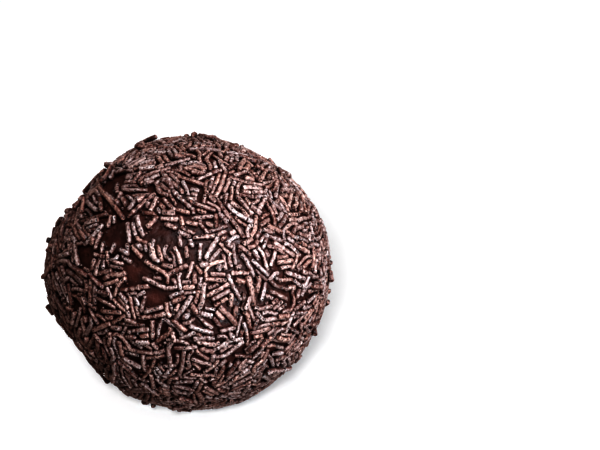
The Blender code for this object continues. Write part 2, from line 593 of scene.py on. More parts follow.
@dataclass
class Sprinkles:
    """Sprinkles as arrays with a row for each.

    A sprinkle's axis swings about the line from its start to its end: sideways by its bow, and outwards to
    follow the ball. Lean is how far its end stands up.
    """

    start: np.ndarray
    end: np.ndarray
    width: np.ndarray
    bow: np.ndarray
    lean: np.ndarray

    @classmethod
    def flat(cls, rows: list[Row]) -> "Sprinkles":
        """Sprinkles from rows, which don't lean."""
        return cls(*(np.array(column) for column in zip(*rows)), np.zeros(len(rows)))

    def __len__(self) -> int:
        """How many there are."""
        return len(self.width)

    @property
    def length(self) -> np.ndarray:
        """Their lengths from end to end."""
        return lengths(self.end - self.start)

    @property
    def middle(self) -> np.ndarray:
        """Their middles."""
        return (self.start + self.end) / 2

    def frames(self, dough: Dough) -> tuple[np.ndarray, np.ndarray, np.ndarray]:
        """Each one's own axes.

        Args:
            dough: The ball of dough.

        Returns:
            Unit vectors along the sprinkles, to their side and out of the ball.
        """
        along = normalised(self.end - self.start)
        side = normalised(np.cross(along, normalised(self.middle - dough.middle)))
        return along, side, np.cross(side, along)

    def moved(self, step: np.ndarray) -> "Sprinkles":
        """The same sprinkles, each moved by its row."""
        return Sprinkles(self.start + step, self.end + step, self.width, self.bow, self.lean)

    def joined(self, other: "Sprinkles") -> "Sprinkles":
        """These sprinkles followed by the others."""
        pairs = ((getattr(self, item.name), getattr(other, item.name)) for item in fields(self))
        return Sprinkles(*(np.concatenate(pair) for pair in pairs))

    def chosen(self, which: np.ndarray) -> "Sprinkles":
        """Those that a mask or an index picks."""
        return Sprinkles(*(getattr(self, item.name)[which] for item in fields(self)))


def laid_by_hand(
    dough: Dough, plane: FacePlane, width: float, placed: tuple[Laid, ...]
) -> list[Row]:
    """Puts sprinkles where they are given on the plane.

    Args:
        dough: The ball of dough.
        plane: The plane on which their ends are given.
        width: How thick they are.
        placed: The places that they are laid at.

    Returns:
        A row for each, on the dough.
    """
    rows = []
    for x0, y0, x1, y1, bow in placed:
        ends = np.array((plane.direction(dough, x0, y0), plane.direction(dough, x1, y1)))
        rows.append((*dough.surface(ends), width, bow * MM))
    return rows


@dataclass(frozen=True)
class LargeSprinkles:
    """The sprinkles that the solid has too, at the same places by the same rule."""

    width: float = 1.15 * MM
    width_spread: float = 0.14
    count: int = 288
    longest: float = 7.2 * MM
    shortest: float = 4.4 * MM
    length_fall: float = 0.45  # how soon they get shorter; 1 is evenly
    lift: float = 0.16  # of the axis, in widths
    most_bend: float = 0.09  # as a share of the length
    candidates: int = 48  # random places, of which each takes the roomiest
    samples: int = 5  # points along an axis at which room is measured
    floor_gap: float = 0.25 * MM
    seed: int = 20
    least_height: float = 0.12 * MM  # how far the whole axis is kept out of the dough
    bare_spots: tuple[tuple[float, float, float], ...] = (
        (-14.6, 18.2, 2.6),
        (-11.4, 11.6, 2.4),
        (-14.1, 7.2, 2.8),
        (-4.6, 8.1, 2.6),
        (-20.4, 3.8, 2.2),
        (-9.6, 1.0, 3.0),
        (-6.0, -4.2, 2.2),
    )
    placed: tuple[Laid, ...] = (
        (-17.6, 19.2, -12.2, 10.4, 0.3),
        (-11.8, 11.0, -6.0, 15.8, 0.0),
        (-2.6, 16.5, 1.0, 12.7, 0.2),
        (-4.5, 14.8, -2.1, 12.2, 0.2),
        (-11.8, 10.0, -11.4, 5.7, -0.1),
        (-11.0, 5.5, -8.9, 2.9, 0.1),
        (-9.8, 11.4, -8.5, 7.1, 0.2),
        (-8.0, 8.9, -5.6, 11.2, 0.1),
        (-5.1, 10.7, -1.5, 10.4, 0.0),
        (-4.4, 9.6, -1.9, 8.5, -0.1),
        (-6.4, 6.6, -5.3, 2.0, 1.3),
        (-7.4, 5.9, -6.2, 2.0, -0.1),
        (-1.4, 7.2, -1.2, 4.8, 0.0),
        (-11.7, 12.6, -9.6, 15.1, 0.1),
        (-20.1, 14.6, -17.9, 12.7, 0.1),
        (-21.4, 10.3, -15.7, 12.0, 0.2),
        (-20.6, 5.6, -16.7, 9.9, 0.2),
        (-15.9, 9.1, -15.0, 11.6, 0.1),
        (-17.1, 3.9, -16.7, 6.3, 0.0),
        (-15.3, 3.9, -14.3, 6.0, 0.1),
        (-13.0, 3.6, -11.1, 2.0, 0.2),
        (-16.8, -1.3, -12.2, -0.1, -0.3),
        (-8.9, -1.1, -1.8, -3.0, 0.7),
        (-13.5, -3.4, -7.6, -2.8, 0.1),
        (-9.1, 18.8, -2.9, 20.9, -0.3),
        (-12.8, 16.8, -7.6, 16.5, 0.2),
        (-1.6, 19.3, 3.8, 17.4, 0.2),
        (6.9, 22.3, 8.3, 20.0, 0.1),
        (8.3, 20.0, 5.9, 14.7, -0.2),
        (6.5, 14.1, 11.6, 6.4, 0.2),
    )

    def spots(self, dough: Dough, plane: FacePlane) -> Spots:
        """The spots where the dough shows."""
        return [(plane.direction(dough, x, y), r * MM) for x, y, r in self.bare_spots]

    def spread(self, dough: Dough, plane: FacePlane, taken: np.ndarray) -> Iterator[Row]:
        """Spreads sprinkles evenly over the rest, the longest first.

        Args:
            dough: The ball of dough.
            plane: The plane on which the bare spots are given.
            taken: Points that already have a sprinkle.

        Yields:
            A row for each, on the dough.
        """
        draw = np.random.RandomState(self.seed)
        spots = [(way, math.cos(r / dough.radius)) for way, r in self.spots(dough, plane)]
        samples = np.linspace(-0.5, 0.5, self.samples)
        for index in range(self.count):
            share = (index / self.count) ** self.length_fall
            length = self.longest + (self.shortest - self.longest) * share
            width = self.width * (1 + self.width_spread * draw.uniform(-1, 1))
            bow = self.most_bend * length * draw.uniform(-1, 1)
            middles = normalised(draw.normal(size=(self.candidates, 3)))
            headings = normalised(np.cross(middles, draw.normal(size=(self.candidates, 3))))
            steps = samples[:, None, None] * headings * (length / dough.radius)
            ways = normalised(middles + steps)
            points = dough.surface(ways.reshape(-1, 3)).reshape(self.samples, self.candidates, 3)
            room = np.linalg.norm(points[:, :, None] - taken, axis=-1).min(axis=(0, 2))
            room[points[:, :, 2].min(axis=0) < width * (self.lift + 0.5) + self.floor_gap] = -1
            for way, cosine in spots:
                room[(ways @ way).max(axis=0) > cosine] = -1
            best = int(np.argmax(room))
            taken = np.concatenate((taken, points[:, best]))
            yield points[0, best], points[-1, best], width, bow

    def lay(self, dough: Dough, plane: FacePlane) -> Sprinkles:
        """Lays them on the dough.

        Args:
            dough: The ball of dough.
            plane: The plane on which the listed ones are given.

        Returns:
            The sprinkles, half sunk in the dough. The listed ones come first.
        """
        rows = laid_by_hand(dough, plane, self.width, self.placed)
        taken = np.array([point for a, b, _, _ in rows for point in (a, (a + b) / 2, b)])
        rows += self.spread(dough, plane, taken)
        laid = Sprinkles.flat(rows)
        along, side, out = laid.frames(dough)
        rise = laid.length**2 / (8 * dough.radius)
        step = out * (self.lift * laid.width + MEAN_ARCH * rise)[:, None]
        laid = laid.moved(step + side * (MEAN_ARCH * laid.bow)[:, None])
        lowest = np.full(len(laid), math.inf)
        for t in np.linspace(-0.5, 0.5, self.samples):
            point = laid.middle + along * (laid.length * t)[:, None]
            point += out * (rise * (1 - MEAN_ARCH - 4 * t * t))[:, None]
            lowest = np.minimum(lowest, dough.heights(point)[0])
        return laid.moved(out * np.maximum(self.least_height - lowest, 0)[:, None])


@dataclass(frozen=True)
class ShownSprinkles:
    """Smaller sprinkles round the bare spots, that stay in sight. They lie on the dough alone."""

    width: float = 1.1 * MM
    lift: float = 0.35  # of the axis, in widths
    placed: tuple[Laid, ...] = (
        (-7.2, 12.2, -5.9, 15.2, 0.1),
        (-2.0, 12.4, 0.8, 11.7, 0.0),
        (1.0, 16.5, 2.9, 16.1, 0.0),
        (0.1, 15.4, 2.2, 14.4, 0.2),
        (1.6, 13.8, 6.0, 12.0, 0.1),
        (2.2, 12.3, 4.0, 11.3, 0.0),
        (-1.1, 11.1, -0.4, 9.2, 0.2),
        (-10.9, 9.9, -10.1, 7.2, 0.1),
        (-2.3, 4.4, -0.9, 0.8, -0.2),
        (-0.2, 5.0, 0.1, 2.6, 0.0),
        (0.1, 10.5, 2.9, 10.3, 0.1),
        (1.7, 7.0, 6.1, 7.5, 0.0),
        (-17.0, 8.3, -18.4, 4.7, 0.2),
        (-15.4, 2.4, -13.7, 3.6, 0.3),
        (-17.4, 2.9, -18.4, -0.6, 0.1),
        (-8.3, 2.2, -6.2, 0.7, 0.0),
        (-5.4, 1.0, -2.1, -1.8, -1.0),
        (-0.2, -1.6, 1.2, 1.9, 0.1),
        (1.5, 1.2, 2.9, -0.5, 0.1),
        (3.4, 5.8, 4.5, 2.2, 0.1),
        (-6.2, 17.5, -4.4, 18.9, 0.0),
        (-13.8, 18.1, -13.7, 16.0, 0.1),
    )

    def lay(self, dough: Dough, plane: FacePlane) -> Sprinkles:
        """Lays them on the dough.

        Args:
            dough: The ball of dough.
            plane: The plane on which their ends are given.

        Returns:
            The sprinkles.
        """
        laid = Sprinkles.flat(laid_by_hand(dough, plane, self.width, self.placed))
        _, side, out = laid.frames(dough)
        return laid.moved(out * self.lift * self.width + side * (MEAN_ARCH * laid.bow)[:, None])


@dataclass(frozen=True)
class Rolled:
    """A side of the ball where sprinkles lie mostly one way, as the ball was rolled there."""

    side: tuple[float, float, float]  # towards its middle
    axis: tuple[float, float, float]  # what it was rolled about
    strength: float
    least_cosine: float = 0.5  # of the angle from its middle to its edge

    def comb(self, ways: np.ndarray, turns: np.ndarray) -> np.ndarray:
        """Turns sprinkles towards the way that they lie there.

        Args:
            ways: The directions from the ball's middle to them.
            turns: Unit vectors along them.

        Returns:
            New unit vectors along them.
        """
        near = (dot(ways, normalised(np.array(self.side))) - self.least_cosine) / (1 - self.least_cosine)
        along = np.cross(ways, self.axis)
        along *= (np.sign(dot(along, turns)) * self.strength * np.sqrt(np.clip(near, 0, 1)))[:, None]
        return normalised(turns + along)


@dataclass(frozen=True)
class LooseSprinkles:
    """Sprinkles scattered all over the ball, which are then settled round and over the others."""

    count: int
    seed: int
    above: float  # how high they start over the dough, in widths
    length: float = 2.95 * MM
    length_spread: float = 0.38
    shortest: float = 1.3 * MM
    longest: float = 7.0 * MM
    width: float = 1.08 * MM
    width_spread: float = 0.12
    slight_bow: float = 0.03  # of the straight ones; this and all bows are shares of the length
    bowed_share: float = 0.3
    bowed: tuple[float, float] = (0.06, 0.13)
    curled_share: float = 0.08
    curled: tuple[float, float] = (0.15, 0.34)
    stub_bow: float = 0.3  # the share of its bow that a stub keeps
    leaning_share: float = 0.02
    leaning: tuple[float, float] = (0.3, 0.8)  # in mm
    most_lean: float = 0.7  # as a share of the length
    candidates: int = 6
    samples: int = 3  # points along an axis at which room is measured
    sampled_to: float = 0.4  # how far from the middle they are, as a share of the length
    rolled: tuple[Rolled, ...] = (
        Rolled((0.75, -0.61, 0.21), (0.5, -0.47, -0.73), 1.0),
        Rolled((-0.05, -0.72, 0.69), (-0.72, -0.38, -0.58), 0.5),
    )

    def scatter(self, dough: Dough, taken: Sprinkles) -> Sprinkles:
        """Scatters them, the longest first. Each takes the roomiest of a few random places.

        Args:
            dough: The ball of dough.
            taken: Sprinkles that are there already.

        Returns:
            The sprinkles, which still cross each other.
        """
        draw = np.random.RandomState(self.seed)
        count = self.count
        length = self.length * np.exp(self.length_spread * draw.normal(size=count))
        length = np.sort(np.clip(length, self.shortest, self.longest))[::-1]
        width = self.width * np.exp(self.width_spread * draw.normal(size=count))
        shares = np.linspace(-self.sampled_to, self.sampled_to, self.samples)
        places = np.concatenate([taken.middle + (taken.end - taken.start) * t for t in shares])
        used = len(places)
        places = np.concatenate((places, np.zeros((self.samples * count, 3))))
        middles = np.zeros((count, 3))
        headings = np.zeros((count, 3))
        for index in range(count):
            ways = normalised(draw.normal(size=(self.candidates, 3)))
            turns = normalised(np.cross(ways, draw.normal(size=(self.candidates, 3))))
            for place in self.rolled:
                turns = place.comb(ways, turns)
            steps = shares[:, None, None] * turns * length[index]
            points = dough.surface(ways) + steps
            gaps = points[:, :, None] - places[:used]
            best = int(np.argmax(dot(gaps, gaps).min(axis=(0, 2))))
            middles[index], headings[index] = ways[best], turns[best]
            places[used : used + self.samples] = points[:, best]
            used += self.samples
        step = headings * (length / 2)[:, None]
        points = dough.surface(middles) + middles * (self.above * width)[:, None]
        sort = draw.uniform(size=count)
        curled = sort < self.curled_share
        bowed = ~curled & (sort < self.curled_share + self.bowed_share)
        bow = self.slight_bow * draw.normal(size=count)
        bow[bowed] = draw.uniform(*self.bowed, bowed.sum())
        bow[curled] = draw.uniform(*self.curled, curled.sum())
        bow *= np.where(length < STUB_TO * width, self.stub_bow, 1)
        bow *= np.where(draw.uniform(size=count) < 0.5, -1, 1)
        lean = np.zeros(count)
        leaning = draw.uniform(size=count) < self.leaning_share
        lean[leaning] = draw.uniform(*self.leaning, leaning.sum()) * MM
        lean = np.minimum(lean, self.most_lean * length)
        return Sprinkles(points - step, points + step, width, bow * length, lean)


@dataclass(frozen=True)
class Settling:
    """Moves overlapping sprinkles apart while it presses them on to the dough."""

    rounds: int = 220
    flat_rounds: int = 110  # rounds in which they move only sideways
    renew: int = 10  # rounds after which the pairs are looked up again
    reach: float = 1.6 * MM  # how near the members of a pair are
    touch: float = 1.06  # the distance of axes that touch, in widths
    ease: float = 0.35  # the share of an overlap that one round takes away
    turning: float = 0.6  # how freely sprinkles turn when pushed at one end
    crossing: float = 0.25  # axes nearer than this, in widths, cross
    spot_share: float = 1.35  # the radius that loose sprinkles are kept out of, as a share of a bare spot's
    press: float = 0.06  # the share of its height that a sprinkle drops by in one round
    sink: float = 0.14  # the least height of an end over the dough, in widths
    rounding: int = 7  # decimals of a place in metres, so that every run gives the same
    worst_overlap: float = 0.3  # in widths
    least_core: float = 0.2  # of the axis without its round ends, in widths
    least_across: float = 1e-16  # keeps the sum finite where axes are parallel
    hiding: float = 0.85  # axes nearer than this over the dough, in widths, hide each other
    most_height: float = 0.9  # of the lower end, in widths
    most_rise: float = 1.2  # of the upper end, in widths

    def neighbours(
        self, middle: np.ndarray, core: np.ndarray, free: np.ndarray
    ) -> tuple[np.ndarray, np.ndarray]:
        """Finds the pairs of sprinkles that may meet soon.

        Args:
            middle: The middles of all axes.
            core: Their lengths.
            free: 1 for each that can move, and 0 for the rest.

        Returns:
            The indices of each pair's first and second.
        """
        half = core / 2
        gap = np.zeros((len(half), len(half)))
        for column in middle.T:
            gap += (column[:, None] - column[None]) ** 2
        limit = half[:, None] + half[None] + self.reach
        near = np.triu(gap < limit**2, k=1) & ((free[:, None] + free[None]) > 0)
        return np.nonzero(near)

    def meet(
        self, a: np.ndarray, b: np.ndarray, first: np.ndarray, second: np.ndarray
    ) -> tuple[np.ndarray, np.ndarray, np.ndarray]:
        """Finds the nearest points of each pair of axes.

        Args:
            a: Starts of all axes.
            b: Ends of all axes.
            first: Index of each pair's first axis.
            second: Index of its second.

        Returns:
            The shares along both axes, and the vector from the second's point to the first's.
        """
        run1 = b[first] - a[first]
        run2 = b[second] - a[second]
        apart = a[first] - a[second]
        long1 = dot(run1, run1)
        long2 = dot(run2, run2)
        both = dot(run1, run2)
        on1 = dot(run1, apart)
        on2 = dot(run2, apart)
        across = np.maximum(long1 * long2 - both * both, self.least_across)
        s = np.clip((both * on2 - on1 * long2) / across, 0, 1)
        t = np.clip((both * s + on2) / long2, 0, 1)
        s = np.clip((both * t - on1) / long1, 0, 1)
        return s, t, apart + run1 * s[:, None] - run2 * t[:, None]

    def axes(self, coat: Sprinkles) -> tuple[np.ndarray, np.ndarray, np.ndarray]:
        """Takes the round ends off the sprinkles' axes.

        Args:
            coat: The sprinkles.

        Returns:
            The starts and the ends of what is left, and its lengths.
        """
        along = normalised(coat.end - coat.start)
        core = np.maximum(coat.length - coat.width, self.least_core * coat.width)
        half = along * (core / 2)[:, None]
        return coat.middle - half, coat.middle + half, core

    def pairs(
        self, coat: Sprinkles, free: np.ndarray
    ) -> tuple[np.ndarray, np.ndarray, np.ndarray, np.ndarray]:
        """Finds the pairs of sprinkles that lie near each other.

        Args:
            coat: All the sprinkles.
            free: 1 for each that can move, and 0 for the rest.

        Returns:
            The indices of each pair's first and second, the gap between their axes, and their mean width.
        """
        a, b, core = self.axes(coat)
        first, second = self.neighbours(coat.middle, core, free)
        _, _, gap = self.meet(a, b, first, second)
        return first, second, gap, (coat.width[first] + coat.width[second]) / 2

    def settle(self, dough: Dough, held: Sprinkles, loose: Sprinkles, spots: Spots) -> Sprinkles:
        """Settles the loose sprinkles round the held ones.

        Args:
            dough: The ball of dough.
            held: Sprinkles that stay where they are.
            loose: Sprinkles that move.
            spots: Bare spots, which push sprinkles away.

        Returns:
            The loose sprinkles that found room, at their new places.
        """
        coat = held.joined(loose)
        free = np.concatenate((np.zeros(len(held)), np.ones(len(loose))))
        moving = free > 0
        width = coat.width
        a, b, core = self.axes(coat)
        count = len(coat)
        for turn in range(self.rounds):
            if turn % self.renew == 0:
                first, second = self.neighbours((a + b) / 2, core, free)
                wide = (width[first] + width[second]) / 2
            s, t, gap = self.meet(a, b, first, second)
            if turn < self.flat_rounds:
                gap = self.flattened(dough, a, b, first, second, gap, wide)
            far = lengths(gap) + TINY
            short = wide * self.touch - far
            near = short > 0
            one, two = first[near], second[near]
            s = 0.5 + (s[near] - 0.5) * self.turning
            t = 0.5 + (t[near] - 0.5) * self.turning
            weight = free[one] * ((1 - s) ** 2 + s**2) + free[two] * ((1 - t) ** 2 + t**2)
            push = gap[near] * (self.ease * short[near] / weight / far[near])[:, None]
            for axis in range(3):
                step = push[:, axis]
                for ends, share1, share2 in ((a, 1 - s, 1 - t), (b, s, t)):
                    ends[:, axis] += np.bincount(one, free[one] * share1 * step, count)
                    ends[:, axis] -= np.bincount(two, free[two] * share2 * step, count)
            for way, radius in spots:
                self.clear_spot(dough, way, radius * self.spot_share, a, b, moving)
            for ends, lean in ((a, 0.0), (b, coat.lean[moving])):
                height, out = dough.heights(ends[moving])
                wanted = self.sink * width[moving] + lean
                move = np.where(height < wanted, wanted - height, (wanted - height) * self.press)
                ends[moving] += out * move[:, None]
                ends[moving, 2] = np.maximum(ends[moving, 2], width[moving] / 2)
            middle = (a + b) / 2
            half = normalised(b - a) * (core / 2)[:, None]
            a[moving] = np.round(middle[moving] - half[moving], self.rounding)
            b[moving] = np.round(middle[moving] + half[moving], self.rounding)
        grow = normalised(b - a) * (width / 2)[:, None]
        settled = Sprinkles(a - grow, b + grow, width, coat.bow, coat.lean)
        return settled.chosen(moving & self.sound(dough, settled, free))

    def flattened(
        self,
        dough: Dough,
        a: np.ndarray,
        b: np.ndarray,
        first: np.ndarray,
        second: np.ndarray,
        gap: np.ndarray,
        wide: np.ndarray,
    ) -> np.ndarray:
        """Lays the gaps between axes flat on the dough. Axes that cross part from middle to middle.

        Args:
            dough: The ball of dough.
            a: Starts of all axes.
            b: Ends of all axes.
            first: Index of each pair's first axis.
            second: Index of its second.
            gap: The gap between each pair.
            wide: Each pair's mean width.

        Returns:
            The gaps, square to the way out of the dough.
        """
        _, out = dough.heights((a[first] + b[first]) / 2)
        gap = levelled(gap, out)
        across = lengths(gap) < self.crossing * wide
        apart = levelled(((a + b)[first] - (a + b)[second])[across], out[across])
        far = lengths(apart) + TINY
        gap[across] = apart * (self.crossing * wide[across] / far)[:, None]
        return gap

    def clear_spot(
        self,
        dough: Dough,
        way: np.ndarray,
        radius: float,
        a: np.ndarray,
        b: np.ndarray,
        moving: np.ndarray,
    ) -> None:
        """Pushes sprinkles sideways out of a bare spot.

        Args:
            dough: The ball of dough.
            way: The spot's direction.
            radius: Its radius.
            a: Starts of all axes, which are moved.
            b: Ends of all axes, which are moved.
            moving: A mask of the sprinkles that can move.
        """
        centre = dough.surface(way[None])[0]
        gap = levelled(gaps_from(centre, a, b), way)
        far = lengths(gap) + TINY
        inside = moving & (far < radius) & (dot(a - dough.middle, way) > 0)
        step = gap[inside] * (self.ease * (radius - far[inside]) / far[inside])[:, None]
        a[inside] += step
        b[inside] += step

    def clear(self, dough: Dough, shown: Sprinkles, loose: Sprinkles) -> Sprinkles:
        """Takes away the loose sprinkles that lie over others that have to stay in sight.

        Args:
            dough: The ball of dough.
            shown: The sprinkles that have to stay in sight.
            loose: The settled loose ones.

        Returns:
            The loose ones that are left.
        """
        coat = shown.joined(loose)
        free = (np.arange(len(coat)) >= len(shown)).astype(float)
        first, second, gap, wide = self.pairs(coat, free)
        _, out = dough.heights(coat.middle[first])
        hidden = (first < len(shown)) & (lengths(levelled(gap, out)) < self.hiding * wide)
        free[second[hidden]] = 0
        return coat.chosen(free > 0)

    def sound(self, dough: Dough, coat: Sprinkles, free: np.ndarray) -> np.ndarray:
        """Finds the sprinkles that lie low enough and don't run through another.

        Args:
            dough: The ball of dough.
            coat: All the sprinkles.
            free: 1 for each that could move, and 0 for the rest.

        Returns:
            A mask. Of a pair that overlaps, the later one goes.
        """
        first, second, gap, wide = self.pairs(coat, free)
        deep = lengths(gap) < wide * (1 - self.worst_overlap)
        kept = np.ones(len(coat), dtype=bool)
        for one, two in zip(first[deep], second[deep]):
            if kept[one] and kept[two]:
                kept[two] = False
        a, b, _ = self.axes(coat)
        ends = np.sort((dough.heights(a)[0], dough.heights(b)[0]), axis=0) / coat.width
        return kept & (ends[0] < self.most_height) & (ends[1] < self.most_rise)


@dataclass(frozen=True)
class Sprinkling:
    """How the ball gets its coat: the large sprinkles, small ones in sight, loose ones, and a few on top."""

    large: LargeSprinkles = LargeSprinkles()
    small: ShownSprinkles = ShownSprinkles()
    nudging: Settling = Settling(rounds=30, flat_rounds=20, spot_share=0.0)
    loose: LooseSprinkles = LooseSprinkles(count=1760, seed=5, above=0.6)
    pressing: Settling = Settling()
    riders: LooseSprinkles = LooseSprinkles(count=260, seed=6, above=1.3)
    dropping: Settling = Settling(rounds=110, flat_rounds=0)

    def coat(self, dough: Dough, plane: FacePlane, spots: Spots) -> Sprinkles:
        """Lays and settles all the sprinkles.

        Args:
            dough: The ball of dough.
            plane: The plane on which the listed ones are given.
            spots: Bare spots, which stay free of loose ones.

        Returns:
            The whole coat.
        """
        coat = self.large.lay(dough, plane)
        small = self.nudging.settle(dough, coat, self.small.lay(dough, plane), spots)
        shown = coat.chosen(np.arange(len(self.large.placed))).joined(small)
        coat = coat.joined(small)
        for loose, settling in ((self.loose, self.pressing), (self.riders, self.dropping)):
            settled = settling.settle(dough, coat, loose.scatter(dough, coat), spots)
            coat = coat.joined(settling.clear(dough, shown, settled))
        return coat


def taken_out(mesh: bmesh.types.BMesh) -> tuple[np.ndarray, Faces]:
    """Takes a template out of its bmesh, which is then freed.

    Args:
        mesh: The template's bmesh.

    Returns:
        Its points and faces. Each face starts at its lowest index, and the faces are sorted, so that every
        run gives the same.
    """
    mesh.verts.index_update()
    points = np.array([vert.co for vert in mesh.verts])
    faces = []
    for face in mesh.faces:
        corners = [vert.index for vert in face.verts]
        first = corners.index(min(corners))
        faces.append((*corners[first:], *corners[:first]))
    mesh.free()
    return points, sorted(faces)


@dataclass(frozen=True)
class RodShape:
    """The form of one kind of sprinkle, in radii: a rod with worn rims and cupped, broken ends."""

    kind: Kind
    rings: int
    ridge: float  # how far every other ring is drawn in
    knob: float  # how far it swells and shrinks along its length
    jitter: float  # how far single points are off
    sides: int = 7
    half: float = 3.0  # the template's half length, which is then fitted to each sprinkle's
    rim: float = 0.25  # how far the rims are worn
    cup_inset: float = 0.22
    cup_depth: float = 0.14
    facing: float = 0.95  # least Z of an end face's normal, up or down

    @property
    def cut(self) -> float:
        """How far the template's side reaches from its middle."""
        return self.half - self.rim

    def caps(self, mesh: bmesh.types.BMesh) -> list[bmesh.types.BMFace]:
        """The two end faces of the template."""
        return [face for face in mesh.faces if abs(face.normal.z) > self.facing]

    def template(self) -> tuple[np.ndarray, Faces]:
        """Models one sprinkle along Z.

        Returns:
            Its points and faces.
        """
        mesh = bmesh.new()
        bmesh.ops.create_cone(
            mesh,
            cap_ends=True,
            segments=self.sides,
            radius1=1.0,
            radius2=1.0,
            depth=2 * self.half,
        )
        caps = self.caps(mesh)
        rims = [edge for edge in mesh.edges if any(face in caps for face in edge.link_faces)]
        bmesh.ops.bevel(
            mesh,
            geom=rims,
            offset=self.rim,
            affect="EDGES",
            segments=1,
            profile=0.5,
            material=-1,
        )
        caps = self.caps(mesh)
        bmesh.ops.inset_individual(mesh, faces=caps, thickness=self.cup_inset)
        for cap in caps:
            inward = -math.copysign(self.cup_depth, cap.normal.z)
            bmesh.ops.translate(mesh, verts=cap.verts, vec=(0.0, 0.0, inward))
        for z in np.linspace(-self.cut, self.cut, self.rings + 2)[1:-1]:
            everything = mesh.verts[:] + mesh.edges[:] + mesh.faces[:]
            bmesh.ops.bisect_plane(
                mesh, geom=everything, plane_co=(0.0, 0.0, z), plane_no=(0.0, 0.0, 1.0)
            )
        bmesh.ops.recalc_face_normals(mesh, faces=mesh.faces)
        return taken_out(mesh)


@dataclass(frozen=True)
class Chance:
    """Random numbers for a batch of sprinkles, in columns with one for each."""

    draw: np.random.RandomState
    count: int

    def between(self, low: float, high: float) -> np.ndarray:
        """A column of numbers from low to high."""
        return self.draw.uniform(low, high, (self.count, 1))

    def within(self, spread: float) -> np.ndarray:
        """A column of numbers up to the spread above or below 0."""
        return self.between(-spread, spread)

    def normal(self, columns: int) -> np.ndarray:
        """Columns of numbers in a normal spread about 0."""
        return self.draw.normal(size=(self.count, columns))


